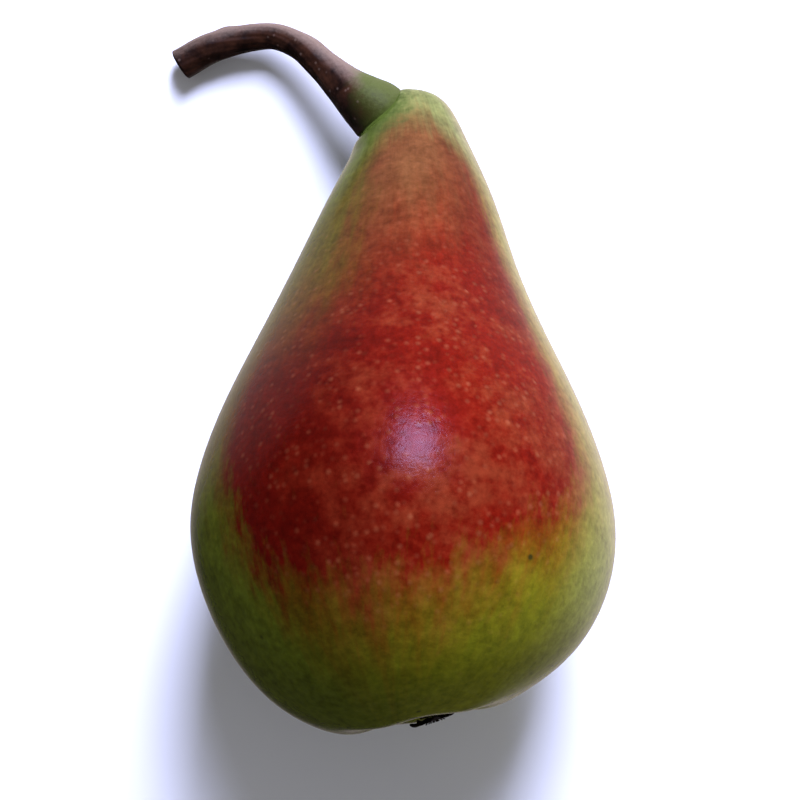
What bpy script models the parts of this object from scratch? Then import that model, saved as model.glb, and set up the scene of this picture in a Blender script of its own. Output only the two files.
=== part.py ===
"""A pear lying on its side, in metres with +Z up.

The origin is the middle of the small flat spot that it rests on. +Y runs towards the stem end and
+X to the right of someone who looks down on the pear with the stem end at the top. Everything is
first laid out in the pear's own frame, where Y runs along the axis from the blossom end, and is
then tipped so that the neck dips towards the surface."""

import math

import bmesh
import bpy
import numpy as np
from mathutils import Matrix, Vector

MM = 0.001
GAP = 0.3 * MM

# Fruit: stations along the axis from the blossom end to the stem end, as (distance, radius) in mm.
# The first three lie in the calyx basin, and the belly is the widest.
BASIN = [(2.4, 0.0), (1.7, 3.4), (0.4, 7.0)]
BELLY = [(0.0, 11.0), (1.4, 15.4), (6.0, 22.2), (15.0, 28.7), (25.0, 31.7), (34.0, 31.2)]
NECK = [(46.0, 27.5), (58.0, 22.3), (70.0, 17.4), (81.0, 13.4), (92.7, 8.5), (98.9, 5.0), (100.4, 0.0)]
# Sideways bend of the axis, as (distance, offset to +X) in mm.
AXIS_BEND = [(0.0, 3.4), (14.0, 1.3), (30.0, 0.4), (50.0, 0.3), (70.0, 0.8), (85.0, 1.8), (100.4, 1.9)]
# The blossom end also sags towards the surface, and its face leans to one side.
BASE_SAG = 3.0 * MM
BASE_SAG_REACH = 30.0 * MM
BASE_LEAN = 0.2
BASE_LEAN_REACH = 28.0 * MM
# The basin takes up this stretch of the axis, and lies a little to +X of the middle of its rim.
BASIN_REACH = 15.0 * MM
BASIN_SHIFT = 1.5 * MM
RIM_RADIUS = 15.0 * MM
# Five shallow lobes round the rim of the basin, with a furrow between two of them on top.
LOBES = 5
LOBE_DEPTH = 0.2 * MM
LOBE_RADIUS = 10.0 * MM
LOBE_SPREAD = 5.0 * MM
FRUIT_SEGMENTS = 64
FRUIT_RINGS = 60

# Pose: how far the stem end dips, and how deep the flat spot is cut. The lowest point is looked
# for on the belly, between these shares of the way from the basin's floor to the neck's tip.
NECK_DIP = math.radians(20.0)
FLAT_DEPTH = 0.35 * MM
BELLY_RUN = (0.2, 0.7)
BELLY_STEPS = 401

# Stem: stations from its root in the flesh to its cut end, as (right, along, up, radius) in mm.
STEM = [
    (0.8, 91.2, 0.6, 2.4),
    (-1.3, 93.9, 1.2, 4.0),
    (-3.3, 96.4, 1.9, 5.0),
    (-5.1, 97.7, 2.5, 4.6),
    (-7.5, 99.8, 2.5, 3.75),
    (-11.0, 103.3, 2.5, 2.81),
    (-14.8, 107.1, 2.4, 2.41),
    (-18.0, 109.5, 1.9, 2.16),
    (-21.6, 110.6, 1.2, 2.16),
    (-25.8, 110.3, 0.4, 2.31),
    (-30.1, 109.4, -0.3, 2.46),
    (-35.3, 107.0, -1.7, 2.6),
]
STEM_SEGMENTS = 20
STEM_RINGS = 52
# Each end is rounded over this share of the length, and domed by this share of its radius.
STEM_END_ROUNDING = 0.05
STEM_END_DOME = 0.3
# A bud scar stands out from the far side of the stem near its cut end.
SCAR_PLACE = 0.81
SCAR_LENGTH = 0.03
SCAR_HEIGHT = 0.35 * MM
SCAR_TURN = math.radians(15.0)
SCAR_WIDTH = math.radians(40.0)

# Calyx: a dried cup in the basin with five sepals that spread from its mouth. It leans a little
# more than the basin. The cup reaches a little past both of its ends, and an exponent under 1
# makes its wall straighter than a ball's.
CALYX_LEAN = math.radians(7.0)
CUP_FLOOR = 1.8 * MM
CUP_MOUTH = 0.3 * MM
CUP_OVERLAP = 0.2 * MM
CUP_RADIUS = 1.9 * MM
CUP_WALL = 0.6
CUP_SEGMENTS = 20
CUP_RINGS = 12
SEPALS = 5
SEPAL_TURN = 0.25
SEPAL_ROOT = 0.4 * CUP_RADIUS
SEPAL_LENGTH = 3.2 * MM
SEPAL_HALF_WIDTH = 1.2 * MM
SEPAL_HALF_THICKNESS = 0.35 * MM
SEPAL_RISE = 0.6 * MM
SEPAL_ARCH = 0.8 * math.pi
SEPAL_CURL = 0.5 * MM
# A blade is widest near its root, and is full and blunt at both ends.
SEPAL_WIDEST = 0.75
SEPAL_FULLNESS = 0.8
SEPAL_EDGE = 3.0
SEPAL_SEGMENTS = 10
SEPAL_RINGS = 14

# Plain colours and roughness of the three materials.
SKIN_COLOUR = (0.33, 0.09, 0.03)
SKIN_ROUGHNESS = 0.42
BARK_COLOUR = (0.09, 0.055, 0.035)
BARK_ROUGHNESS = 0.75
DRIED_COLOUR = (0.03, 0.02, 0.012)
DRIED_ROUGHNESS = 0.9


def clear_scene():
    for old in list(bpy.data.objects):
        bpy.data.objects.remove(old, do_unlink=True)


def new_collection(name):
    collection = bpy.data.collections.new(name)
    bpy.context.scene.collection.children.link(collection)
    return collection


def plain_material(name, colour, roughness):
    material = bpy.data.materials.new(name)
    material.use_nodes = True
    shader = material.node_tree.nodes["Principled BSDF"]
    shader.inputs["Base Color"].default_value = (*colour, 1.0)
    shader.inputs["Roughness"].default_value = roughness
    shader.inputs["Metallic"].default_value = 0.0
    return material


def smooth_curve(knots, values, at):
    """Natural cubic spline through the values at the knots, read at the given places."""
    knots = np.asarray(knots, float)
    values = np.asarray(values, float)
    step = np.diff(knots)
    slope = np.diff(values) / step
    count = len(knots)
    matrix = np.eye(count)
    bend = np.zeros(count)
    for k in range(1, count - 1):
        matrix[k, k - 1 : k + 2] = step[k - 1], 2.0 * (step[k - 1] + step[k]), step[k]
        bend[k] = 6.0 * (slope[k] - slope[k - 1])
    bend = np.linalg.solve(matrix, bend)
    at = np.clip(at, knots[0], knots[-1])
    k = np.clip(np.searchsorted(knots, at) - 1, 0, count - 2)
    before = at - knots[k]
    after = knots[k + 1] - at
    cubic = (bend[k] * after**3 + bend[k + 1] * before**3) / (6.0 * step[k])
    left = (values[k] / step[k] - bend[k] * step[k] / 6.0) * after
    right = (values[k + 1] / step[k] - bend[k + 1] * step[k] / 6.0) * before
    return cubic + left + right


def fruit_profile(run):
    """(distance along the axis, radius) at a share of the way from pole to pole.

    The stations are mirrored past both poles, so that the skin runs smoothly over them."""
    stations = np.array(BASIN + BELLY + NECK) * MM
    mirror = np.array([1.0, -1.0])
    points = np.concatenate([stations[3:0:-1] * mirror, stations, stations[-2:-5:-1] * mirror])
    chord = np.linalg.norm(np.diff(points, axis=0), axis=1)
    knots = np.concatenate([[0.0], np.cumsum(np.sqrt(chord))])
    at = knots[3] + run * (knots[-4] - knots[3])
    return smooth_curve(knots, points[:, 0], at), smooth_curve(knots, points[:, 1], at)


def axis_offset(along):
    """How far the bent axis lies to +X at a distance from the blossom end."""
    places, offsets = np.array(AXIS_BEND).T * MM
    return smooth_curve(places, offsets, along)


def fruit_point(run, turn):
    """Point of the fruit's skin in the pear's own frame, run from the basin's floor to the neck."""
    along, radius = fruit_profile(run)
    base = max(0.0, 1.0 - along / BASE_SAG_REACH)
    lean = BASE_LEAN * max(0.0, 1.0 - along / BASE_LEAN_REACH) ** 2
    sag_slope = -2.0 * BASE_SAG * base / BASE_SAG_REACH
    across = radius * math.cos(turn)
    up = radius * math.sin(turn)
    sideways = axis_offset(along)
    shift = lean * across + sag_slope * up
    if along < BASIN_REACH:
        rim = math.exp(-(((radius - LOBE_RADIUS) / LOBE_SPREAD) ** 2))
        shift -= LOBE_DEPTH * rim * math.cos(LOBES * (turn + math.pi / 2.0))
        sideways += BASIN_SHIFT * max(0.0, 1.0 - radius / RIM_RADIUS) ** 2
    return Vector((sideways + across, along + shift, up - BASE_SAG * base**2))


def drawn_out_sphere(name, segments, rings, place):
    """A UV sphere whose points are moved by a rule of their share of the way up and their turn."""
    shape = bmesh.new()
    bmesh.ops.create_uvsphere(shape, u_segments=segments, v_segments=rings, radius=1.0)
    for vertex in shape.verts:
        run = 1.0 - math.acos(max(-1.0, min(1.0, vertex.co.z))) / math.pi
        turn = math.atan2(vertex.co.y, vertex.co.x)
        vertex.co = place(run, turn)
    bmesh.ops.recalc_face_normals(shape, faces=shape.faces)
    mesh = bpy.data.meshes.new(name)
    shape.to_mesh(mesh)
    shape.free()
    mesh.shade_smooth()
    return mesh


def pose_matrix():
    """Tips the pear about its middle so that the flat spot comes to the origin."""
    tip = Matrix.Rotation(-NECK_DIP, 4, "X")
    lowest = Vector((0.0, 0.0, 1.0))
    for run in np.linspace(*BELLY_RUN, BELLY_STEPS):
        point = tip @ fruit_point(run, -math.pi / 2.0)
        if point.z < lowest.z:
            lowest = point
    return Matrix.Translation((-lowest.x, -lowest.y, -lowest.z - FLAT_DEPTH)) @ tip


def add_object(name, mesh, collection, material=None):
    made = bpy.data.objects.new(name, mesh)
    collection.objects.link(made)
    if material is not None:
        mesh.materials.append(material)
    return made


def stem_point(run, turn, extra=0.0):
    """Point of the stem in the pear's own frame; extra widens it, for the socket."""
    stations = np.array(STEM) * MM
    line = stations[:, :3]
    knots = np.concatenate([[0.0], np.cumsum(np.linalg.norm(np.diff(line, axis=0), axis=1))])
    length = knots[-1]
    rounding = STEM_END_ROUNDING
    share = np.clip((run - rounding) / (1.0 - 2.0 * rounding), 0.0, 1.0)
    tiny = 0.001
    centre = Vector([smooth_curve(knots, line[:, k], share * length) for k in range(3)])
    ahead = Vector([smooth_curve(knots, line[:, k], min(1.0, share + tiny) * length) for k in range(3)])
    behind = Vector([smooth_curve(knots, line[:, k], max(0.0, share - tiny) * length) for k in range(3)])
    tangent = (ahead - behind).normalized()
    side = tangent.cross(Vector((0.0, 0.0, 1.0))).normalized()
    top = side.cross(tangent)
    radius = smooth_curve(knots, stations[:, 3], share * length)
    scar_along = math.exp(-(((share - SCAR_PLACE) / SCAR_LENGTH) ** 2))
    scar_turn = math.remainder(turn - SCAR_TURN, 2.0 * math.pi) / SCAR_WIDTH
    radius += SCAR_HEIGHT * scar_along * math.exp(-(scar_turn**2))
    radius += extra
    end = min(1.0, run / rounding, (1.0 - run) / rounding)
    dome = STEM_END_DOME * radius * (1.0 - end)
    if run < 0.5:
        dome = -dome
    radius *= math.sqrt(max(0.0, 1.0 - (1.0 - end) ** 2))
    outward = side * math.cos(turn) + top * math.sin(turn)
    return centre + outward * radius + tangent * dome


def sepal_point(number, run, turn):
    """Point of one sepal: a thin blade that leaves the cup, spreads and curls back at its tip."""
    angle = 2.0 * math.pi * (number + SEPAL_TURN) / SEPALS
    out = Vector((math.cos(angle), 0.0, math.sin(angle)))
    side = Vector((-math.sin(angle), 0.0, math.cos(angle)))
    reach = SEPAL_ROOT + SEPAL_LENGTH * run
    lift = SEPAL_RISE * math.sin(SEPAL_ARCH * run) - SEPAL_CURL * run**3
    width = SEPAL_HALF_WIDTH * math.sin(math.pi * run**SEPAL_WIDEST) ** SEPAL_FULLNESS
    thick = SEPAL_HALF_THICKNESS * min(1.0, SEPAL_EDGE * math.sqrt(run * (1.0 - run)))
    depth = Vector((0.0, CUP_MOUTH - lift + thick * math.sin(turn), 0.0))
    return out * reach + side * width * math.cos(turn) + depth


def cup_point(run, turn):
    """Point of the dried cup that the sepals stand on, seated on the basin's floor."""
    polar = math.pi * run
    middle = 0.5 * (CUP_FLOOR + CUP_MOUTH)
    half = 0.5 * (CUP_FLOOR - CUP_MOUTH) + CUP_OVERLAP
    radius = CUP_RADIUS * math.sin(polar) ** CUP_WALL
    return Vector((radius * math.cos(turn), middle - half * math.cos(polar), radius * math.sin(turn)))


def base_frame():
    """Frame of the calyx at the blossom end, with its lean and sag."""
    sag_slope = math.atan(2.0 * BASE_SAG / BASE_SAG_REACH)
    lean = Matrix.Rotation(math.atan(BASE_LEAN) + CALYX_LEAN, 4, "Z")
    sag = Matrix.Rotation(sag_slope, 4, "X")
    return Matrix.Translation((axis_offset(0.0) + BASIN_SHIFT, 0.0, -BASE_SAG)) @ lean @ sag


def cut_flat_spot(mesh):
    """Cuts off what lies under the surface that the pear rests on, and closes the cut."""
    shape = bmesh.new()
    shape.from_mesh(mesh)
    everything = shape.verts[:] + shape.edges[:] + shape.faces[:]
    cut = bmesh.ops.bisect_plane(shape, geom=everything, plane_no=(0.0, 0.0, -1.0), clear_outer=True)
    rim = [edge for edge in cut["geom_cut"] if isinstance(edge, bmesh.types.BMEdge)]
    bmesh.ops.contextual_create(shape, geom=rim)
    shape.to_mesh(mesh)
    shape.free()


def build_fruit(collection, cutters, pose):
    skin = plain_material("pear_skin", SKIN_COLOUR, SKIN_ROUGHNESS)
    mesh = drawn_out_sphere("fruit", FRUIT_SEGMENTS, FRUIT_RINGS, fruit_point)
    mesh.transform(pose)
    cut_flat_spot(mesh)
    fruit = add_object("fruit", mesh, collection, skin)
    wider_stem = drawn_out_sphere(
        "stem_socket", STEM_SEGMENTS, STEM_RINGS, lambda run, turn: stem_point(run, turn, GAP)
    )
    wider_stem.transform(pose)
    cutter = add_object("stem_socket", wider_stem, cutters)
    cutter.hide_render = True
    cutter.display_type = "WIRE"
    socket = fruit.modifiers.new("stem_socket", "BOOLEAN")
    socket.operation = "DIFFERENCE"
    socket.object = cutter


def build_stem(collection, pose):
    bark = plain_material("pear_stem", BARK_COLOUR, BARK_ROUGHNESS)
    mesh = drawn_out_sphere("stem", STEM_SEGMENTS, STEM_RINGS, stem_point)
    mesh.transform(pose)
    add_object("stem", mesh, collection, bark)


def build_calyx(collection, pose):
    dried = plain_material("pear_calyx", DRIED_COLOUR, DRIED_ROUGHNESS)
    seat = pose @ base_frame()
    pieces = new_collection("calyx_pieces")
    cup_mesh = drawn_out_sphere("calyx", CUP_SEGMENTS, CUP_RINGS, cup_point)
    cup_mesh.transform(seat)
    cup = add_object("calyx", cup_mesh, collection, dried)
    for number in range(SEPALS):
        blade = drawn_out_sphere(
            "sepal",
            SEPAL_SEGMENTS,
            SEPAL_RINGS,
            lambda run, turn, number=number: sepal_point(number, run, turn),
        )
        blade.transform(seat)
        add_object(f"sepal_{number}", blade, pieces, dried)
    join = cup.modifiers.new("sepals", "BOOLEAN")
    join.operation = "UNION"
    join.operand_type = "COLLECTION"
    join.collection = pieces
    graph = bpy.context.evaluated_depsgraph_get()
    joined = bpy.data.meshes.new_from_object(cup.evaluated_get(graph))
    cup.modifiers.clear()
    cup.data = joined
    for blade in list(pieces.objects):
        bpy.data.objects.remove(blade, do_unlink=True)
    bpy.data.collections.remove(pieces)


def build_pear():
    clear_scene()
    collection = new_collection("pear")
    cutters = new_collection("cutters")
    pose = pose_matrix()
    build_fruit(collection, cutters, pose)
    build_stem(collection, pose)
    build_calyx(collection, pose)


build_pear()
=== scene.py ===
import math

import bpy
import numpy as np
from mathutils import Matrix, Vector


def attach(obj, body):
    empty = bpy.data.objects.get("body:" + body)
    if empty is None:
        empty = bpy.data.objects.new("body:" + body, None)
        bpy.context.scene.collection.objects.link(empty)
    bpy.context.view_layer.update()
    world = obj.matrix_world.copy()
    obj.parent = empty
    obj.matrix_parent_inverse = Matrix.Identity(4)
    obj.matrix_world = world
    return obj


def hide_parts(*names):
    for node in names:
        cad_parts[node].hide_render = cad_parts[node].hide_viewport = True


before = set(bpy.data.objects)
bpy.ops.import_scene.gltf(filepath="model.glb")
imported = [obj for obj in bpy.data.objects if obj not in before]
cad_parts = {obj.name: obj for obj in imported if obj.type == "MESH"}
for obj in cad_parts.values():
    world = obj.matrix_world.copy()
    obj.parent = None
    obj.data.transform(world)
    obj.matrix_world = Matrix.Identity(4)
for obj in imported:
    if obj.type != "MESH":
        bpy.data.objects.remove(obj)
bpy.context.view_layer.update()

# Fruit. The flesh with its waxy skin, grown as one piece: a round belly, a long neck that ends
# in a lip beside the stem, and a shallow basin at the blossom end. It lies on its side.

MM = 0.001
# Stations along the axis from the blossom end to the stem end, as (distance, radius) in mm.
BASIN = [(2.4, 0.0), (1.7, 3.4), (0.4, 7.0)]
BELLY = [(0.0, 11.0), (1.4, 15.4), (6.0, 22.2), (15.0, 28.7), (25.0, 31.7), (34.0, 31.2)]
NECK = [(46.0, 27.5), (58.0, 22.3), (70.0, 17.4), (81.0, 13.4), (92.7, 8.5), (98.9, 5.0), (100.4, 0.0)]
# Sideways bend of the axis, as (distance, offset to +X) in mm.
AXIS_BEND = [(0.0, 3.4), (14.0, 1.3), (30.0, 0.4), (50.0, 0.3), (70.0, 0.8), (85.0, 1.8), (100.4, 1.9)]
# The blossom end sags towards the surface, and its face leans to one side.
BASE_SAG = 3.0 * MM
BASE_SAG_REACH = 30.0 * MM
BASE_LEAN = 0.2
BASE_LEAN_REACH = 28.0 * MM
BASIN_REACH = 15.0 * MM
BASIN_SHIFT = 1.5 * MM
RIM_RADIUS = 15.0 * MM
# Shallow lobes round the rim of the basin, and fine furrows that run from the calyx over it.
LOBES = 5
LOBE_DEPTH = 0.2 * MM
LOBE_RADIUS = 10.0 * MM
LOBE_SPREAD = 5.0 * MM
FURROWS = 10
FURROW_DEPTH = 0.12 * MM
FURROW_RADIUS = 5.5 * MM
FURROW_SPREAD = 2.6 * MM
FURROW_TURN = 0.7
# Soft swells of the flesh, each as (waves round it, distance along for a radian, start, share).
SWELL = 0.16 * MM
SWELLS = [(2.0, 21.0 * MM, 0.8, 0.6), (5.0, 13.0 * MM, 0.0, 0.4)]
SWELL_RADIUS = 12.0 * MM
SWELL_ALONG = (4.0 * MM, 20.0 * MM)
BASE_INSET = 0.1 * MM
# The stem end dips, and the belly is cut flat by this depth at its lowest point, which is looked
# for between two shares of the way from the basin's floor to the neck's tip.
NECK_DIP = math.radians(20.0)
FLAT_DEPTH = 0.35 * MM
BELLY_RUN = (0.2, 0.7)
BELLY_STEPS = 4001
SKIN_SEGMENTS = 360
SKIN_RINGS = 260
# The stem's foot and the way that it leaves the flesh, with a crease and a raised lip round it.
STEM_FOOT = Vector((-3.8, 96.0, 1.9)) * MM
STEM_WAY = Vector((-0.72, 0.64, 0.27)).normalized()
LIP_RADIUS = 6.0 * MM
LIP_SPREAD = 1.6 * MM
LIP_HEIGHT = 0.25 * MM
CREASE_RADIUS = 5.1 * MM
CREASE_SPREAD = 0.5 * MM
CREASE_DEPTH = 0.2 * MM
STEM_SIDE = (-15.0 * MM, -4.0 * MM)
FAR_FROM_STEM = 50.0 * MM


def smooth_curve(knots, values, at):
    """Natural cubic spline through the values at the knots, read at the given places."""
    knots = np.asarray(knots, float)
    values = np.asarray(values, float)
    step = np.diff(knots)
    slope = np.diff(values) / step
    count = len(knots)
    matrix = np.eye(count)
    bend = np.zeros(count)
    for k in range(1, count - 1):
        matrix[k, k - 1 : k + 2] = step[k - 1], 2.0 * (step[k - 1] + step[k]), step[k]
        bend[k] = 6.0 * (slope[k] - slope[k - 1])
    bend = np.linalg.solve(matrix, bend)
    at = np.clip(at, knots[0], knots[-1])
    k = np.clip(np.searchsorted(knots, at) - 1, 0, count - 2)
    before = at - knots[k]
    after = knots[k + 1] - at
    cubic = (bend[k] * after**3 + bend[k + 1] * before**3) / (6.0 * step[k])
    left = (values[k] / step[k] - bend[k] * step[k] / 6.0) * after
    right = (values[k + 1] / step[k] - bend[k + 1] * step[k] / 6.0) * before
    return cubic + left + right


def smooth_step(low, high, value):
    share = np.clip((value - low) / (high - low), 0.0, 1.0)
    return share * share * (3.0 - 2.0 * share)


def bell(value, middle, spread):
    return np.exp(-(((value - middle) / spread) ** 2))


def axis_offset(along):
    places, offsets = np.array(AXIS_BEND).T * MM
    return smooth_curve(places, offsets, along)


def fruit_points(run, turn, relief=1.0):
    """Points of the skin in the pear's own frame: X right, Y along the axis, Z up.

    The stations are mirrored past both poles, so that the skin runs smoothly over them."""
    stations = np.array(BASIN + BELLY + NECK) * MM
    mirror = np.array([1.0, -1.0])
    points = np.concatenate([stations[3:0:-1] * mirror, stations, stations[-2:-5:-1] * mirror])
    chord = np.linalg.norm(np.diff(points, axis=0), axis=1)
    knots = np.concatenate([[0.0], np.cumsum(np.sqrt(chord))])
    at = knots[3] + run * (knots[-4] - knots[3])
    along = smooth_curve(knots, points[:, 0], at)
    radius = smooth_curve(knots, points[:, 1], at)
    base = np.maximum(0.0, 1.0 - along / BASE_SAG_REACH)
    lean = BASE_LEAN * np.maximum(0.0, 1.0 - along / BASE_LEAN_REACH) ** 2
    sag_slope = -2.0 * BASE_SAG * base / BASE_SAG_REACH
    at_base = np.where(along < BASIN_REACH, 1.0, 0.0)
    lobe = LOBE_DEPTH * bell(radius, LOBE_RADIUS, LOBE_SPREAD)
    lobe = lobe * np.cos(LOBES * (turn + math.pi / 2.0))
    furrow = FURROW_DEPTH * bell(radius, FURROW_RADIUS, FURROW_SPREAD)
    furrow = furrow * np.cos(FURROWS * turn + FURROW_TURN)
    body = smooth_step(0.0, SWELL_RADIUS, radius) * smooth_step(*SWELL_ALONG, along) * relief
    swell = np.zeros(len(along))
    for waves, pitch, start, share in SWELLS:
        swell = swell + share * np.cos(waves * turn + start + along / pitch)
    radius = radius + SWELL * body * (swell - 1.0)
    across = radius * np.cos(turn)
    up = radius * np.sin(turn)
    basin = BASIN_SHIFT * np.maximum(0.0, 1.0 - radius / RIM_RADIUS) ** 2
    sideways = axis_offset(along) + at_base * basin
    shift = lean * across + sag_slope * up - at_base * (lobe - relief * furrow)
    shift = shift + relief * BASE_INSET * base
    return np.stack([sideways + across, along + shift, up - BASE_SAG * base**2], axis=-1)


def crease_by_stem(points):
    """Sinks a crease round the stem's foot and raises the lip; also gives how far the stem is."""
    apart = points - np.array(STEM_FOOT)
    ahead = apart @ np.array(STEM_WAY)
    distance = np.linalg.norm(apart - ahead[:, None] * np.array(STEM_WAY), axis=1)
    near = smooth_step(*STEM_SIDE, ahead)
    lip = LIP_HEIGHT * bell(distance, LIP_RADIUS, LIP_SPREAD)
    crease = CREASE_DEPTH * bell(distance, CREASE_RADIUS, CREASE_SPREAD)
    moved = points + ((lip - crease) * near)[:, None] * np.array(STEM_WAY)
    return moved, distance + FAR_FROM_STEM * (1.0 - near)


def drawn_out_sphere(name, segments, rings, place):
    """A UV sphere whose points are moved by a rule of their share of the way up and their turn."""
    bpy.ops.mesh.primitive_uv_sphere_add(segments=segments, ring_count=rings)
    piece = bpy.context.object
    piece.name = name
    piece.data.name = name
    ball = np.empty(len(piece.data.vertices) * 3)
    piece.data.vertices.foreach_get("co", ball)
    ball = ball.reshape(-1, 3)
    run = 1.0 - np.arccos(np.clip(ball[:, 2], -1.0, 1.0)) / math.pi
    turn = np.arctan2(ball[:, 1], ball[:, 0])
    piece.data.vertices.foreach_set("co", place(run, turn).ravel())
    piece.data.update()
    piece.data.shade_smooth()
    return piece


def settle(points):
    """Tips points from the pear's own frame into the frame of the surface that it lies on."""
    spin = np.array(pose.to_3x3())
    return points @ spin.T + np.array(pose.translation)


tip = Matrix.Rotation(-NECK_DIP, 4, "X")
underside = np.full(BELLY_STEPS, -math.pi / 2.0)
keel = fruit_points(np.linspace(*BELLY_RUN, BELLY_STEPS), underside, 0.0) @ np.array(tip.to_3x3()).T
lowest = keel[keel[:, 2].argmin()]
pose = Matrix.Translation((-lowest[0], -lowest[1], -lowest[2] - FLAT_DEPTH)) @ tip


def place_skin(run, turn):
    points, distance = crease_by_stem(fruit_points(run, turn))
    points = settle(points)
    points[:, 2] = np.maximum(points[:, 2], 0.0)
    stem_distances.append(distance)
    return points


stem_distances = []
fruit = drawn_out_sphere("fruit_skin", SKIN_SEGMENTS, SKIN_RINGS, place_skin)
near_stem = fruit.data.attributes.new("near_stem", "FLOAT", "POINT")
near_stem.data.foreach_set("value", stem_distances[0].astype(np.float32))


def add_node(material, kind, inputs=None, **settings):
    """Adds a node, with values or links for its inputs by name or number."""
    made = material.node_tree.nodes.new("ShaderNode" + kind)
    for key, value in settings.items():
        setattr(made, key, value)
    for key, value in (inputs or {}).items():
        if isinstance(value, bpy.types.NodeSocket):
            material.node_tree.links.new(value, made.inputs[key])
        else:
            made.inputs[key].default_value = value
    return made


def maths(material, operation, first, second=0.0):
    return add_node(material, "Math", {0: first, 1: second}, operation=operation).outputs[0]


def multiply_add(material, value, times, plus):
    return add_node(material, "Math", {0: value, 1: times, 2: plus}, operation="MULTIPLY_ADD").outputs[0]


def ease(material, value, low, high, start=0.0, end=1.0):
    """Smooth step of a value from start at low to end at high."""
    inputs = {0: value, 1: low, 2: high, 3: start, 4: end}
    return add_node(material, "MapRange", inputs, interpolation_type="SMOOTHSTEP").outputs[0]


def blend(material, share, first, second, kind="MIX"):
    """Mix of two colours; a plain colour is three numbers."""
    inputs = {0: share}
    for key, value in ((6, first), (7, second)):
        inputs[key] = (*value, 1.0) if isinstance(value, tuple) else value
    return add_node(material, "Mix", inputs, data_type="RGBA", blend_type=kind).outputs[2]


def noise(material, place, scale, detail=2.0, rough=0.5):
    """Noise around zero, from about -0.5 to 0.5."""
    inputs = {"Vector": place, "Scale": scale, "Detail": detail, "Roughness": rough}
    return maths(material, "SUBTRACT", add_node(material, "TexNoise", inputs).outputs[0], 0.5)


def own_frame(material):
    """Coordinates in the pear's own frame, in millimetres, and their X, Y and Z apart."""
    home = pose.inverted()
    inputs = {
        "Vector": add_node(material, "TexCoord").outputs["Object"],
        "Location": tuple(home.translation / MM),
        "Rotation": tuple(home.to_euler()),
        "Scale": (1.0 / MM, 1.0 / MM, 1.0 / MM),
    }
    place = add_node(material, "Mapping", inputs).outputs[0]
    apart = add_node(material, "SeparateXYZ", {0: place}).outputs
    return place, apart[0], apart[1], apart[2]


def new_material(name, roughness, gloss):
    material = bpy.data.materials.new(name)
    material.use_nodes = True
    shader = material.node_tree.nodes["Principled BSDF"]
    shader.inputs["Roughness"].default_value = roughness
    shader.inputs["Specular IOR Level"].default_value = gloss
    return material, shader


def link(material, source, target):
    material.node_tree.links.new(source, target)


# The blush: deep on the left, partly its own colour and partly painted shade, brick and warm red in the
# middle, thin and olive on the neck.
DEEP_RED_AND_SHADE = (0.05, 0.0015, 0.0004)
BRICK_RED = (0.13, 0.0045, 0.0012)
WARM_RED = (0.13, 0.017, 0.005)
THIN_RED = (0.118, 0.045, 0.013)
NECK_OLIVE = (0.057, 0.05, 0.004)
# The ground under it: green to yellow on the belly and greens and creams on the neck; on the right
# flank, a pale cream that is a painted reflection.
# The dark green at the base and on the left is partly the ground's own colour, partly painted shade.
BASE_GREEN_AND_SHADE = (0.058, 0.068, 0.003)
GROUND_YELLOW = (0.165, 0.157, 0.004)
NECK_SHADE = (0.052, 0.07, 0.01)
NECK_PALE = (0.148, 0.156, 0.045)
STEM_GREEN = (0.055, 0.078, 0.012)
# Pale green and pink of the painted reflection on the right flank.
GREEN_PAINTED_SHEEN = (0.27, 0.29, 0.1)
PINK_PAINTED_SHEEN = (0.29, 0.215, 0.11)
PALE_DOT = (0.28, 0.09, 0.035)
DARK_DOT = (0.02, 0.022, 0.004)
LILAC_GLOSS = (1.0, 0.75, 0.9)
SKIN_GLOSS = 0.05
SKIN_ROUGHNESS = 0.22
ROUGHNESS_VARIES = 0.15
SKIN_BUMP = 0.07 * MM
# Fineness of the patches and dots per millimetre, and of the streaks for the whole fruit.
CLOUDS = 0.08
BLOTCHES = 0.28
MOTTLE = 0.9
GRAIN = 2.4
DOTS = 0.72
SPECKS = 0.1
STREAKS = 7.0
FINE_STREAKS = 24.0
STREAK_LENGTH = 80.0
# Edges of the blush in mm along the axis: its middle's place, its curve, its raggedness and its
# softness. To the right runs from -1 on the far left of the fruit to 1 on its far right.
LOW_EDGE = 7.0
LOW_EDGE_CURVE = 13.0
LOW_EDGE_SHIFT = 0.25
LOW_EDGE_RAGGED = 16.0
LOW_EDGE_SOFT = (-11.0, 11.0)
LOW_EDGE_FAR_LEFT = (-0.95, -0.55, 19.0, 0.0)
HIGH_EDGE = 95.0
HIGH_EDGE_CURVE = -19.0
HIGH_EDGE_SHIFT = -0.2
HIGH_EDGE_RAGGED = 11.0
HIGH_EDGE_SOFT = (-6.0, 8.0)
BLUSH_LEAN = -0.45
SIDE_RAGGED = 0.3
BLUSH_SIDE = (-0.1, 0.35)
BLUSH_STEM = (6.0, 9.0)
BLUSH_LEFT = (-0.97, -0.74, 0.3, 1.0)
BLUSH_FULL = 1.04
BLUSH_VARIES = 0.3
# Spans over which one colour turns into the next, to the right or along the axis in mm. Where
# two more numbers follow, they are the shares at its start and end.
YELLOW_RIGHT = (-0.8, 0.85)
YELLOW_ALONG = (0.0, 24.0, 0.5, 1.0)
NECK_RIGHT = (-0.6, 0.75)
NECK_ALONG = (76.0, 91.0)
NECK_TIP_ALONG = (93.0, 98.0)
STEM_GREEN_SPAN = (5.0, 8.0, 1.0, 0.0)
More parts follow.
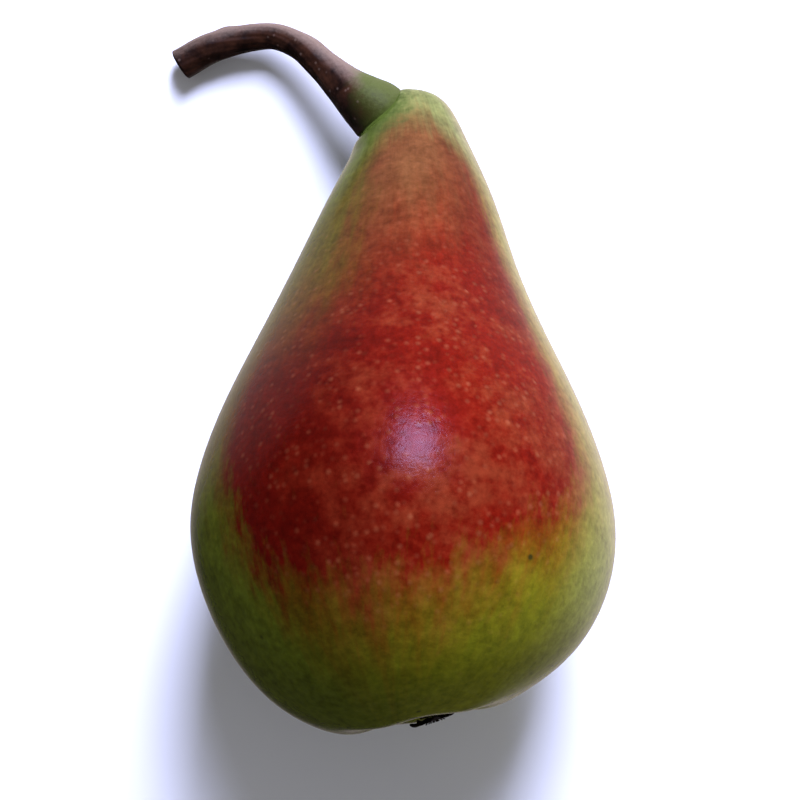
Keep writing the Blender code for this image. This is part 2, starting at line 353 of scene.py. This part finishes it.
# Deep red, partly painted shade: full on the left, gone a little right of the middle.
DEEP_AND_SHADE_RIGHT = (-0.55, 0.25, 1.0, 0.0)
DEEP_AND_SHADE_ALONG = (40.0, 80.0, 1.0, 0.55)
NECK_SIDE_RIGHT = (0.3, 0.75, 0.0, 0.35)
NECK_SIDE_ALONG = (42.0, 62.0)
WARM_ALONG = (22.0, 42.0, 0.12, -0.03)
WARM_SPAN = (-0.15, 0.35)
THIN_ALONG = (54.0, 84.0, 0.0, 0.9)
THIN_LEAN = -12.0
THIN_RAGGED = 20.0
OLIVE_RIGHT = (-0.78, -0.15, 0.9, 0.0)
OLIVE_RAGGED = 0.8
OLIVE_ALONG = (42.0, 72.0)
# Where the painted reflection, a pale cream veil, lies on the right flank.
PAINTED_SHEEN_RIGHT = (0.72, 1.04, 0.0, 0.6)
PAINTED_SHEEN_ALONG = (4.0, 17.0, 0.25, 1.0)
PAINTED_SHEEN_PINK_ALONG = (14.0, 36.0)
# Dots: how far each reaches from its middle, how strong they are, and where they fade.
DOT_REACH = (0.0, 0.46, 1.0, 0.0)
DOT_IN_RED = 0.27
DOT_IN_DEEP = -0.2
DOT_IN_GROUND = 0.05
DOT_ALONG = (55.0, 78.0, 1.0, 0.3)
SPECK_REACH = (0.025, 0.06, 0.8, 0.0)
# How much the patches lighten and darken the colour.
MOTTLE_TONE = 0.9
BLOTCH_TONE = 0.7
STREAK_TONE = 0.5
GRAIN_TONE = 0.3


def squared(material, value, plus):
    """The square of a value after a number is added to it."""
    shifted = maths(material, "ADD", value, plus)
    return maths(material, "MULTIPLY", shifted, shifted)


def blush_share(material, to_right, to_top, along, near, ragged):
    """How red the skin is: full on the sunny side, ragged where it ends, none by the stem."""
    curve = squared(material, to_right, LOW_EDGE_SHIFT)
    low_edge = multiply_add(material, curve, LOW_EDGE_CURVE, LOW_EDGE)
    far_left = ease(material, multiply_add(material, ragged, SIDE_RAGGED, to_right), *LOW_EDGE_FAR_LEFT)
    low_edge = maths(material, "ADD", low_edge, far_left)
    curve = squared(material, to_right, HIGH_EDGE_SHIFT)
    high_edge = multiply_add(material, curve, HIGH_EDGE_CURVE, HIGH_EDGE)
    past_low = multiply_add(material, ragged, LOW_EDGE_RAGGED, along)
    past_low = maths(material, "SUBTRACT", past_low, low_edge)
    short_of_high = multiply_add(material, ragged, HIGH_EDGE_RAGGED, along)
    short_of_high = maths(material, "SUBTRACT", high_edge, short_of_high)
    turned = multiply_add(material, to_right, BLUSH_LEAN, to_top)
    turned = multiply_add(material, ragged, SIDE_RAGGED, turned)
    share = ease(material, past_low, *LOW_EDGE_SOFT)
    share = maths(material, "MULTIPLY", share, ease(material, short_of_high, *HIGH_EDGE_SOFT))
    share = maths(material, "MULTIPLY", share, ease(material, turned, *BLUSH_SIDE))
    return maths(material, "MULTIPLY", share, ease(material, near, *BLUSH_STEM))


def skin_material():
    """Yellow-green ground, a streaky red blush on the upper side, pale lenticels and a waxy gloss."""
    material, shader = new_material("pear_skin", SKIN_ROUGHNESS, SKIN_GLOSS)
    shader.inputs["Specular Tint"].default_value = (*LILAC_GLOSS, 1.0)
    place, right, along, up = own_frame(material)
    flat = add_node(material, "CombineXYZ", {0: right, 1: up, 2: 0.0}).outputs[0]
    around = add_node(material, "VectorMath", {0: flat}, operation="NORMALIZE").outputs[0]
    round_parts = add_node(material, "SeparateXYZ", {0: around}).outputs
    to_right, to_top = round_parts[0], round_parts[1]
    streak_parts = {0: to_right, 1: to_top, 2: maths(material, "DIVIDE", along, STREAK_LENGTH)}
    streak_place = add_node(material, "CombineXYZ", streak_parts).outputs[0]
    streaks = noise(material, streak_place, STREAKS, 5.0, 0.6)
    fine_streaks = noise(material, streak_place, FINE_STREAKS, 4.0, 0.6)
    clouds = noise(material, place, CLOUDS, 3.0)
    blotches = noise(material, place, BLOTCHES, 3.0)
    mottle = noise(material, place, MOTTLE)
    grain = noise(material, place, GRAIN)
    near = add_node(material, "Attribute", attribute_name="near_stem").outputs["Fac"]
    near = multiply_add(material, mottle, 3.0, maths(material, "DIVIDE", near, MM))

    # Dark green on the left turning yellow on the right, partly painted shade on the side away from the
    # light.
    yellow = ease(material, to_right, *YELLOW_RIGHT)
    yellow = maths(material, "MULTIPLY", yellow, ease(material, along, *YELLOW_ALONG))
    ground = blend(material, yellow, BASE_GREEN_AND_SHADE, GROUND_YELLOW)
    neck = blend(material, ease(material, to_right, *NECK_RIGHT), NECK_SHADE, NECK_PALE)
    neck = blend(material, ease(material, along, *NECK_TIP_ALONG), neck, NECK_PALE)
    ground = blend(material, ease(material, along, *NECK_ALONG), ground, neck)
    ground = blend(material, ease(material, near, *STEM_GREEN_SPAN), ground, STEM_GREEN)

    # Deep red over the left half, fading up the neck: partly the blush's own colour, partly painted
    # shade on the side away from the light. The right of the neck is deepened as well.
    deep = multiply_add(material, blotches, 0.45, multiply_add(material, clouds, 0.4, to_right))
    deep = ease(material, deep, *DEEP_AND_SHADE_RIGHT)
    deep = maths(material, "MULTIPLY", deep, ease(material, along, *DEEP_AND_SHADE_ALONG))
    neck_side = ease(material, to_right, *NECK_SIDE_RIGHT)
    neck_side = maths(material, "MULTIPLY", neck_side, ease(material, along, *NECK_SIDE_ALONG))
    deep = maths(material, "ADD", deep, neck_side)
    warm = maths(material, "ADD", blotches, multiply_add(material, mottle, 0.4, clouds))
    warm = maths(material, "ADD", warm, ease(material, along, *WARM_ALONG))
    warm = ease(material, warm, *WARM_SPAN)
    red = blend(material, warm, BRICK_RED, WARM_RED)
    thin = multiply_add(material, streaks, THIN_RAGGED, along)
    thin = multiply_add(material, to_right, THIN_LEAN, thin)
    red = blend(material, ease(material, thin, *THIN_ALONG), red, THIN_RED)
    red = blend(material, deep, red, DEEP_RED_AND_SHADE)
    olive = ease(material, multiply_add(material, streaks, OLIVE_RAGGED, to_right), *OLIVE_RIGHT)
    olive = maths(material, "MULTIPLY", olive, ease(material, along, *OLIVE_ALONG))
    red = blend(material, olive, red, NECK_OLIVE)
    ragged = multiply_add(material, fine_streaks, 0.4, streaks)
    blush = blush_share(material, to_right, to_top, along, near, ragged)
    blush = maths(material, "MULTIPLY", blush, ease(material, to_right, *BLUSH_LEFT))
    fullness = multiply_add(material, fine_streaks, BLUSH_VARIES, BLUSH_FULL)
    blush = maths(material, "MULTIPLY", blush, fullness)
    blush = add_node(material, "Clamp", {0: blush}).outputs[0]
    skin = blend(material, blush, ground, red)
    # Painted reflection: the right flank is painted pale cream, green towards the base and pink higher
    # up.
    pale = ease(material, to_right, *PAINTED_SHEEN_RIGHT)
    pale = maths(material, "MULTIPLY", pale, ease(material, along, *PAINTED_SHEEN_ALONG))
    painted_sheen_colour = blend(material, ease(material, along, *PAINTED_SHEEN_PINK_ALONG), GREEN_PAINTED_SHEEN, PINK_PAINTED_SHEEN)
    skin = blend(material, pale, skin, painted_sheen_colour)

    dots = add_node(material, "TexVoronoi", {"Vector": place, "Scale": DOTS})
    dot_tone = add_node(material, "SeparateColor", {0: dots.outputs["Color"]}).outputs[0]
    pits = ease(material, dots.outputs["Distance"], *DOT_REACH)
    pits = maths(material, "MULTIPLY", pits, dot_tone)
    dot_share = multiply_add(material, deep, DOT_IN_DEEP, DOT_IN_GROUND)
    dot_share = multiply_add(material, blush, DOT_IN_RED, dot_share)
    dot_share = maths(material, "MULTIPLY", dot_share, ease(material, along, *DOT_ALONG))
    skin = blend(material, maths(material, "MULTIPLY", pits, dot_share), skin, PALE_DOT)
    specks = add_node(material, "TexVoronoi", {"Vector": place, "Scale": SPECKS})
    bruises = ease(material, specks.outputs["Distance"], *SPECK_REACH)
    skin = blend(material, bruises, skin, DARK_DOT)
    tone = multiply_add(material, mottle, MOTTLE_TONE, 1.0)
    tone = multiply_add(material, blotches, BLOTCH_TONE, tone)
    tone = multiply_add(material, fine_streaks, STREAK_TONE, tone)
    tone = multiply_add(material, grain, GRAIN_TONE, tone)
    shade = add_node(material, "CombineColor", {0: tone, 1: tone, 2: tone}).outputs[0]
    skin = blend(material, 1.0, skin, shade, "MULTIPLY")
    link(material, skin, shader.inputs["Base Color"])

    roughness = multiply_add(material, mottle, ROUGHNESS_VARIES, SKIN_ROUGHNESS)
    link(material, roughness, shader.inputs["Roughness"])
    height = multiply_add(material, grain, 0.5, mottle)
    height = multiply_add(material, pits, 0.5, height)
    bump = add_node(material, "Bump", {"Height": height, "Strength": 0.5, "Distance": SKIN_BUMP})
    link(material, bump.outputs[0], shader.inputs["Normal"])
    return material


fruit.data.materials.append(skin_material())
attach(fruit, "root")
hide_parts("fruit")

# Stem. A woody stalk that bends over to one side, with fine ridges along it, a bud scar, a
# clubbed and cut end, and a green fleshy foot that grows out of the neck.

# Stations from its root in the flesh to its cut end, as (right, along, up, radius) in mm.
STEM = [
    (0.8, 91.2, 0.6, 2.4),
    (-1.3, 93.9, 1.2, 4.0),
    (-3.3, 96.4, 1.9, 5.0),
    (-5.1, 97.7, 2.5, 4.6),
    (-7.5, 99.8, 2.5, 3.75),
    (-11.0, 103.3, 2.5, 2.81),
    (-14.8, 107.1, 2.4, 2.41),
    (-18.0, 109.5, 1.9, 2.16),
    (-21.6, 110.6, 1.2, 2.16),
    (-25.8, 110.3, 0.4, 2.31),
    (-30.1, 109.4, -0.3, 2.46),
    (-35.3, 107.0, -1.7, 2.6),
]
STEM_SEGMENTS = 120
STEM_RINGS = 420
# Each end is rounded over this share of the length, and domed by this share of its radius.
STEM_END_ROUNDING = 0.075
STEM_END_DOME = 0.25
# A bud scar stands out from the far side of the stem near its cut end.
SCAR_PLACE = 0.81
SCAR_LENGTH = 0.03
SCAR_HEIGHT = 0.35 * MM
SCAR_TURN = math.radians(15.0)
SCAR_WIDTH = math.radians(40.0)
# Ridges wind along the bark past the smooth foot, with small knobs between them.
BARK_START = 0.2
BARK_FULL = 0.4
RIDGES = 9
RIDGE_HEIGHT = 0.035 * MM
RIDGE_DEPTH = 1.5 * RIDGE_HEIGHT
RIDGE_TWIST = 2.5
RIDGE_SWAY = 2.0
RIDGE_SWAY_WAVES = 9.0
KNOB_HEIGHT = 0.07 * MM
KNOB_WAVES = 37.0
KNOB_TWIST = 11.0
# The cut end is sunk inside this share of its rounding.
CUT_HOLLOW = 0.15 * MM
CUT_EDGE = 0.45
# The side of the stem towards the light, which the bark's colour paints grey as a painted highlight.
FAR_WAY = Vector((0.35, 0.8, 0.5)).normalized()


def place_stem(run, turn):
    """Points of the bark; also keeps each point's share of the length and how far-facing it is."""
    stations = np.array(STEM) * MM
    line = stations[:, :3]
    knots = np.concatenate([[0.0], np.cumsum(np.linalg.norm(np.diff(line, axis=0), axis=1))])
    length = knots[-1]
    rounding = STEM_END_ROUNDING
    share = np.clip((run - rounding) / (1.0 - 2.0 * rounding), 0.0, 1.0)
    tiny = 0.001

    def on_line(place):
        place = np.clip(place, 0.0, 1.0) * length
        return np.stack([smooth_curve(knots, line[:, k], place) for k in range(3)], axis=-1)

    centre = on_line(share)
    tangent = on_line(share + tiny) - on_line(share - tiny)
    tangent /= np.linalg.norm(tangent, axis=1)[:, None]
    side = np.cross(tangent, np.array([0.0, 0.0, 1.0]))
    side /= np.linalg.norm(side, axis=1)[:, None]
    top = np.cross(side, tangent)
    radius = smooth_curve(knots, stations[:, 3], share * length)
    scar_turn = np.remainder(turn - SCAR_TURN + math.pi, 2.0 * math.pi) - math.pi
    scar = bell(share, SCAR_PLACE, SCAR_LENGTH) * bell(scar_turn, 0.0, SCAR_WIDTH)
    radius = radius + SCAR_HEIGHT * scar
    end = np.clip(np.minimum(run, 1.0 - run) / rounding, 0.0, 1.0)
    bark = smooth_step(BARK_START, BARK_FULL, share) * end
    twist = turn + RIDGE_TWIST * share
    ridge = np.cos(RIDGES * twist + RIDGE_SWAY * np.sin(RIDGE_SWAY_WAVES * share))
    ridge = ridge + 0.5 * np.cos((2 * RIDGES + 1) * twist)
    knobs = np.sin(KNOB_WAVES * share + 2.0 * np.cos(turn)) * np.cos(2.0 * turn + KNOB_TWIST * share)
    radius = radius + bark * (RIDGE_HEIGHT * ridge + KNOB_HEIGHT * knobs - RIDGE_DEPTH)
    dome = radius * STEM_END_DOME * (1.0 - end) * np.where(run > 0.5, 1.0, -1.0)
    hollow = np.where(run > 0.5, CUT_HOLLOW * smooth_step(CUT_EDGE, 0.0, end), 0.0)
    radius = radius * np.sqrt(np.maximum(0.0, 1.0 - (1.0 - end) ** 2))
    outward = side * np.cos(turn)[:, None] + top * np.sin(turn)[:, None]
    lengths.append(share)
    faces.append(outward @ np.array(FAR_WAY))
    return settle(centre + outward * radius[:, None] + tangent * (dome - hollow)[:, None])


lengths = []
faces = []
stem = drawn_out_sphere("stem_bark", STEM_SEGMENTS, STEM_RINGS, place_stem)
stem_share = stem.data.attributes.new("stem_share", "FLOAT", "POINT")
stem_share.data.foreach_set("value", lengths[0].astype(np.float32))
stem_face = stem.data.attributes.new("stem_face", "FLOAT", "POINT")
stem_face.data.foreach_set("value", faces[0].astype(np.float32))

BARK_DARK = (0.005, 0.0017, 0.0011)
BARK_LIGHT = (0.034, 0.012, 0.0055)
# Grey of the bark's lenticel spots, also laid on the side towards the light as a painted highlight.
SPOT_AND_HIGHLIGHT_GREY = (0.19, 0.13, 0.095)
FOOT_GREEN = (0.028, 0.031, 0.005)
FOOT_PALE = (0.07, 0.082, 0.02)
BARK_TINT = (1.0, 0.85, 0.75)
BARK_GLOSS = 0.07
BARK_ROUGHNESS = 0.5
BARK_BUMP = 0.12 * MM
# Fineness of the bark's patches, fibres, grit and spots per millimetre.
BARK_PATCHES = 0.35
BARK_FIBRES = 1.6
BARK_GRIT = 5.0
BARK_SPOTS = 0.6
# Spans over which one colour of the stem turns into the next.
LIGHT_SPAN = (-0.2, 0.22)
# Painted highlight: how the grey spreads over the side of the bark that faces the light.
PAINTED_HIGHLIGHT_SPAN = (0.22, 1.0, 0.0, 0.9)
FOOT_LIT_SPAN = (-0.2, 0.9)
FOOT_BASE_SPAN = (0.08, 0.17, 1.0, 0.0)
BARK_EDGE_SPAN = (0.16, 0.27)
BARK_EDGE_LEAN = -0.09
BARK_EDGE_RAGGED = 0.12
SPOT_REACH = (0.06, 0.2, 0.25, 0.0)


def bark_material():
    """Brown bark, painted grey on the side towards the light as a painted highlight, turning green
    towards the foot.
    """
    material, shader = new_material("pear_stem", BARK_ROUGHNESS, BARK_GLOSS)
    shader.inputs["Specular Tint"].default_value = (*BARK_TINT, 1.0)
    place = own_frame(material)[0]
    share = add_node(material, "Attribute", attribute_name="stem_share").outputs["Fac"]
    face = add_node(material, "Attribute", attribute_name="stem_face").outputs["Fac"]
    patches = noise(material, place, BARK_PATCHES, 4.0, 0.6)
    fibres = noise(material, place, BARK_FIBRES, 5.0, 0.65)
    grit = noise(material, place, BARK_GRIT, 3.0, 0.6)
    brown = blend(material, ease(material, patches, *LIGHT_SPAN), BARK_DARK, BARK_LIGHT)
    # Painted highlight: bark that faces the light is painted grey, as a rim of light would show.
    painted_highlight = ease(material, multiply_add(material, fibres, 0.4, face), *PAINTED_HIGHLIGHT_SPAN)
    brown = blend(material, painted_highlight, brown, SPOT_AND_HIGHLIGHT_GREY)
    lit = ease(material, multiply_add(material, fibres, 1.2, face), *FOOT_LIT_SPAN)
    foot = blend(material, lit, FOOT_GREEN, FOOT_PALE)
    foot = blend(material, ease(material, share, *FOOT_BASE_SPAN), foot, STEM_GREEN)
    edge = multiply_add(material, patches, BARK_EDGE_RAGGED, share)
    edge = multiply_add(material, face, BARK_EDGE_LEAN, edge)
    colour = blend(material, ease(material, edge, *BARK_EDGE_SPAN), foot, brown)
    lenticels = add_node(material, "TexVoronoi", {"Vector": place, "Scale": BARK_SPOTS})
    spots = ease(material, lenticels.outputs["Distance"], *SPOT_REACH)
    colour = blend(material, spots, colour, SPOT_AND_HIGHLIGHT_GREY)
    link(material, colour, shader.inputs["Base Color"])
    roughness = multiply_add(material, fibres, 0.25, BARK_ROUGHNESS)
    link(material, roughness, shader.inputs["Roughness"])
    height = maths(material, "ADD", fibres, maths(material, "MULTIPLY", grit, 0.5))
    height = maths(material, "ADD", height, spots)
    bump = add_node(material, "Bump", {"Height": height, "Strength": 0.5, "Distance": BARK_BUMP})
    link(material, bump.outputs[0], shader.inputs["Normal"])
    return material


stem.data.materials.append(bark_material())
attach(stem, "root")
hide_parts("stem")

# Calyx. The dried remains of the flower: a small woody cup on the basin's floor, five thin
# sepals that spread from its mouth and curl, and a few withered stamens inside.

SEPALS = 5
CALYX_LEAN = math.radians(7.0)
CUP_FLOOR = 1.8 * MM
CUP_MOUTH = 0.3 * MM
CUP_RADIUS = 1.9 * MM
CUP_OVERLAP = 0.2 * MM
# The cup's wall bulges, has ten low ribs, and is hollowed at its mouth.
CUP_WALL = 0.6
CUP_RIBS = 10.0
CUP_RIB_SHARE = 0.04
CUP_HOLLOW = 0.9 * MM
CUP_HOLLOW_RUN = 0.35
CUP_SEGMENTS = 60
CUP_RINGS = 40
SEPAL_TURN = 0.25
SEPAL_ROOT = 0.4 * CUP_RADIUS
SEPAL_LENGTH = 3.2 * MM
SEPAL_HALF_WIDTH = 1.2 * MM
SEPAL_HALF_THICKNESS = 0.2 * MM
SEPAL_RISE = 0.4 * MM
SEPAL_CURL = 0.35 * MM
SEPAL_ARCH = 0.8 * math.pi
SEPAL_WIDEST = 0.75
SEPAL_FULLNESS = 0.8
SEPAL_EDGE = 3.0
# Each sepal sways and curls by its own amount, has a ragged edge, a trough and a midrib.
SEPAL_SWAY = 0.25 * MM
SEPAL_SWAY_STEP = 2.3
SEPAL_SWAY_START = 1.0
SEPAL_CURL_VARIES = 0.2 * MM
SEPAL_CURL_STEP = 1.9
SEPAL_TEETH = 31.0
SEPAL_TOOTH = 0.06
SEPAL_TROUGH = 0.2 * MM
MIDRIB_HEIGHT = 0.12 * MM
MIDRIB_WIDTH = 0.2
SEPAL_SEGMENTS = 48
SEPAL_RINGS = 60
# The stamens stand inside the cup, each leaning outwards by its own amount, with a small head.
STAMENS = 12
STAMEN_LENGTH = 1.5 * MM
STAMEN_RADIUS = 0.09 * MM
STAMEN_TURN = 2.4
STAMEN_LEAN = 0.35
STAMEN_LEAN_VARIES = 0.3
STAMEN_LEAN_STEP = 1.7
STAMEN_SPREAD = 0.9 * MM
STAMEN_SINK = 1.0 * MM
STAMEN_TAPER = 0.4
STAMEN_HEAD = 1.2
STAMEN_HEAD_PLACE = 0.92
STAMEN_HEAD_LENGTH = 0.05
STAMEN_SEGMENTS = 8
STAMEN_RINGS = 24

face = Matrix.Rotation(math.atan(BASE_LEAN) + CALYX_LEAN, 4, "Z")
face = face @ Matrix.Rotation(math.atan(2.0 * BASE_SAG / BASE_SAG_REACH), 4, "X")
seat = pose @ Matrix.Translation((axis_offset(0.0) + BASIN_SHIFT, 0.0, -BASE_SAG)) @ face


def on_seat(points):
    """Moves points onto the basin's floor, where Y leads into the flesh."""
    return points @ np.array(seat.to_3x3()).T + np.array(seat.translation)


def place_cup(run, turn):
    polar = math.pi * run
    middle = 0.5 * (CUP_FLOOR + CUP_MOUTH)
    half = 0.5 * (CUP_FLOOR - CUP_MOUTH) + CUP_OVERLAP
    radius = CUP_RADIUS * np.sin(polar) ** CUP_WALL
    radius = radius * (1.0 + CUP_RIB_SHARE * np.cos(CUP_RIBS * turn))
    deep = middle - half * np.cos(polar) + CUP_HOLLOW * smooth_step(CUP_HOLLOW_RUN, 0.0, run)
    return on_seat(np.stack([radius * np.cos(turn), deep, radius * np.sin(turn)], axis=-1))


def place_sepal(number):
    """The rule that makes one sepal out of a sphere."""
    angle = 2.0 * math.pi * (number + SEPAL_TURN) / SEPALS
    out = np.array([math.cos(angle), 0.0, math.sin(angle)])
    side = np.array([-math.sin(angle), 0.0, math.cos(angle)])
    away = np.array([0.0, 1.0, 0.0])
    sway = SEPAL_SWAY * math.sin(SEPAL_SWAY_STEP * number + SEPAL_SWAY_START)
    curl = SEPAL_CURL + SEPAL_CURL_VARIES * math.cos(SEPAL_CURL_STEP * number)

    def place(run, turn):
        reach = SEPAL_ROOT + SEPAL_LENGTH * run
        lift = SEPAL_RISE * np.sin(SEPAL_ARCH * run) - curl * run**3
        across = np.cos(turn)
        width = SEPAL_HALF_WIDTH * np.sin(math.pi * run**SEPAL_WIDEST) ** SEPAL_FULLNESS
        width = width * (1.0 + SEPAL_TOOTH * np.sin(SEPAL_TEETH * run + number) * across)
        edge = SEPAL_EDGE * np.sqrt(np.maximum(0.0, run * (1.0 - run)))
        thick = SEPAL_HALF_THICKNESS * np.minimum(1.0, edge)
        trough = SEPAL_TROUGH * across**2 * np.sin(math.pi * run)
        midrib = MIDRIB_HEIGHT * bell(across, 0.0, MIDRIB_WIDTH)
        deep = CUP_MOUTH - lift - (trough - midrib) + thick * np.sin(turn)
        shift = sway * run**2 + width * across
        return on_seat(out * reach[:, None] + side * shift[:, None] + away * deep[:, None])

    return place


def place_stamen(number):
    """The rule that makes one stamen out of a sphere."""
    angle = STAMEN_TURN * number
    lean = STAMEN_LEAN + STAMEN_LEAN_VARIES * math.sin(STAMEN_LEAN_STEP * number)
    foot = STAMEN_SPREAD * math.sqrt((number + 0.5) / STAMENS)
    out = np.array([math.cos(angle), 0.0, math.sin(angle)])
    side = np.array([-math.sin(angle), 0.0, math.cos(angle)])
    away = np.array([0.0, -1.0, 0.0])

    def place(run, turn):
        head = STAMEN_HEAD * bell(run, STAMEN_HEAD_PLACE, STAMEN_HEAD_LENGTH)
        radius = STAMEN_RADIUS * (np.sin(math.pi * run) ** STAMEN_TAPER + head)
        reach = foot + STAMEN_LENGTH * lean * run**1.5
        rise = STAMEN_LENGTH * run - STAMEN_SINK
        ring = out * np.cos(turn)[:, None] + side * np.sin(turn)[:, None]
        return on_seat(out * reach[:, None] + away * rise[:, None] + ring * radius[:, None])

    return place


def join_pieces(pieces, name):
    bpy.ops.object.select_all(action="DESELECT")
    for piece in pieces:
        piece.select_set(True)
    bpy.context.view_layer.objects.active = pieces[0]
    bpy.ops.object.join()
    pieces[0].name = name
    return pieces[0]


calyx_parts = [drawn_out_sphere("calyx_cup", CUP_SEGMENTS, CUP_RINGS, place_cup)]
for number in range(SEPALS):
    sepal = drawn_out_sphere("calyx_sepal", SEPAL_SEGMENTS, SEPAL_RINGS, place_sepal(number))
    calyx_parts.append(sepal)
for number in range(STAMENS):
    stamen = drawn_out_sphere("calyx_stamen", STAMEN_SEGMENTS, STAMEN_RINGS, place_stamen(number))
    calyx_parts.append(stamen)
calyx = join_pieces(calyx_parts, "calyx_remains")

DRY_DARK = (0.005, 0.003, 0.002)
DRY_BROWN = (0.025, 0.014, 0.008)
DRY_SPAN = (-0.15, 0.25)
DRY_GLOSS = 0.1
DRY_ROUGHNESS = 0.85
DRY_BUMP = 0.15 * MM
WRINKLES = 2.2
FELT = 8.0


def calyx_material():
    """Dry, dull brown tissue with fine wrinkles and a felted surface."""
    material, shader = new_material("pear_calyx", DRY_ROUGHNESS, DRY_GLOSS)
    place = own_frame(material)[0]
    wrinkles = noise(material, place, WRINKLES, 5.0, 0.65)
    felt = noise(material, place, FELT, 3.0, 0.6)
    colour = blend(material, ease(material, wrinkles, *DRY_SPAN), DRY_DARK, DRY_BROWN)
    link(material, colour, shader.inputs["Base Color"])
    height = maths(material, "ADD", wrinkles, maths(material, "MULTIPLY", felt, 0.4))
    bump = add_node(material, "Bump", {"Height": height, "Strength": 0.8, "Distance": DRY_BUMP})
    link(material, bump.outputs[0], shader.inputs["Normal"])
    return material


calyx.data.materials.append(calyx_material())
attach(calyx, "root")
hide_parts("calyx")

# Floor. The plain white surface that the pear lies on, matt as paper and larger than the view.
# The gloss doesn't show it, but the surround below the horizon, which stands in for it.

FLOOR_SIZE = 3.0
FLOOR_WHITE = (0.88, 0.88, 0.89)
FLOOR_ROUGHNESS = 0.7
FLOOR_GLOSS = 0.2

bpy.ops.mesh.primitive_plane_add(size=FLOOR_SIZE)
floor = bpy.context.object
floor.name = "floor"
paper, paper_shader = new_material("floor_white", FLOOR_ROUGHNESS, FLOOR_GLOSS)
paper_shader.inputs["Base Color"].default_value = (*FLOOR_WHITE, 1.0)
floor.data.materials.append(paper)
floor.visible_glossy = False

# Light. One soft window-like light beyond the stem end and a little to the right, a card beside
# it that only the gloss shows, and a pale surround that is brighter on the light's side.

LIGHT_DISTANCE = 1.1
KEY_WIDTH = 0.36
KEY_LENGTH = 0.66
KEY_HEIGHT = math.radians(43.0)
KEY_TURN = math.radians(12.0)
KEY_POWER = 29.0
KEY_COLOUR = (0.82, 0.88, 1.3)
CARD_WIDTH = 0.28
CARD_LENGTH = 0.45
CARD_HEIGHT = math.radians(41.0)
CARD_TURN = math.radians(10.0)
CARD_POWER = 29.0
CARD_COLOUR = (0.6, 0.7, 1.15)
# The surround above the horizon: dim overhead, and brighter on one side than on the other.
SURROUND = (0.97, 0.97, 1.05)
OVERHEAD_STRENGTH = 0.25
BRIGHT_WAY = (0.8, 0.6, 0.0)
DARK_SIDE_STRENGTH = 0.15
BRIGHT_SIDE_STRENGTH = 0.85
SIDE_SPAN = (-0.35, 0.5)
# The surround below it, which only the gloss shows, as a pale veil on the flanks.
FROM_BELOW = (0.94, 0.81, 0.79)
BRIGHT_WAY_BELOW = (0.5, 0.86, 0.0)
DARK_BELOW_STRENGTH = 0.05
BRIGHT_BELOW_STRENGTH = 1.65
BELOW_SPAN = (-0.4, 0.25)
HORIZON_SPAN = (-0.1, 0.0)


def add_light(name, height, turn, width, length, power, colour):
    light = bpy.data.lights.new(name, "AREA")
    light.shape = "RECTANGLE"
    light.size = width
    light.size_y = length
    light.energy = power
    light.color = colour
    lamp = bpy.data.objects.new(name, light)
    way = Vector((math.sin(turn), math.cos(turn), math.tan(height))).normalized()
    lamp.location = way * LIGHT_DISTANCE
    lamp.rotation_euler = way.to_track_quat("Z", "Y").to_euler()
    bpy.context.scene.collection.objects.link(lamp)
    return lamp


def share_of_way(bright_way):
    """How far a direction points the bright way, from -1 to 1."""
    inputs = {0: way, 1: bright_way}
    return add_node(world, "VectorMath", inputs, operation="DOT_PRODUCT").outputs["Value"]


key = add_light("key", KEY_HEIGHT, KEY_TURN, KEY_WIDTH, KEY_LENGTH, KEY_POWER, KEY_COLOUR)
key.visible_glossy = False
card = add_light("card", CARD_HEIGHT, CARD_TURN, CARD_WIDTH, CARD_LENGTH, CARD_POWER, CARD_COLOUR)
card.visible_diffuse = False

world = bpy.data.worlds.new("surround")
world.use_nodes = True
background = world.node_tree.nodes["Background"]
way = add_node(world, "TexCoord").outputs["Generated"]
height = add_node(world, "SeparateXYZ", {0: way}).outputs[2]
above = ease(world, height, *HORIZON_SPAN)
link(world, blend(world, above, FROM_BELOW, SURROUND), background.inputs["Color"])
low = maths(world, "SUBTRACT", 1.0, maths(world, "MAXIMUM", height))
side = ease(world, share_of_way(BRIGHT_WAY), *SIDE_SPAN, DARK_SIDE_STRENGTH, BRIGHT_SIDE_STRENGTH)
glow = add_node(world, "MapRange", {0: low, 3: OVERHEAD_STRENGTH, 4: side}).outputs[0]
low_end, high_end = BELOW_SPAN
spread = {0: share_of_way(BRIGHT_WAY_BELOW), 1: low_end, 2: high_end}
spread.update({3: DARK_BELOW_STRENGTH, 4: BRIGHT_BELOW_STRENGTH})
below = add_node(world, "MapRange", spread).outputs[0]
strength = add_node(world, "MapRange", {0: above, 3: below, 4: glow}).outputs[0]
link(world, strength, background.inputs["Strength"])
bpy.context.scene.world = world
bpy.context.scene.view_settings.view_transform = "Standard"

# Camera. Straight above the pear, with the stem end at the top of the picture. Its height is
# taken as 380 mm, and the lens follows from how much of the belly one pixel covers.

CAMERA_PLACE = (-0.3 * MM, 14.35 * MM, 380.0 * MM)
BELLY_PIXEL = 0.1492 * MM
BELLY_LEVEL = 32.0 * MM
PICTURE = 800.0
SENSOR = 36.0

camera_data = bpy.data.cameras.new("camera")
camera_data.sensor_width = SENSOR
camera_data.lens = SENSOR / PICTURE * (CAMERA_PLACE[2] - BELLY_LEVEL) / BELLY_PIXEL
camera = bpy.data.objects.new("camera", camera_data)
camera.location = CAMERA_PLACE
bpy.context.scene.collection.objects.link(camera)
bpy.context.scene.camera = camera
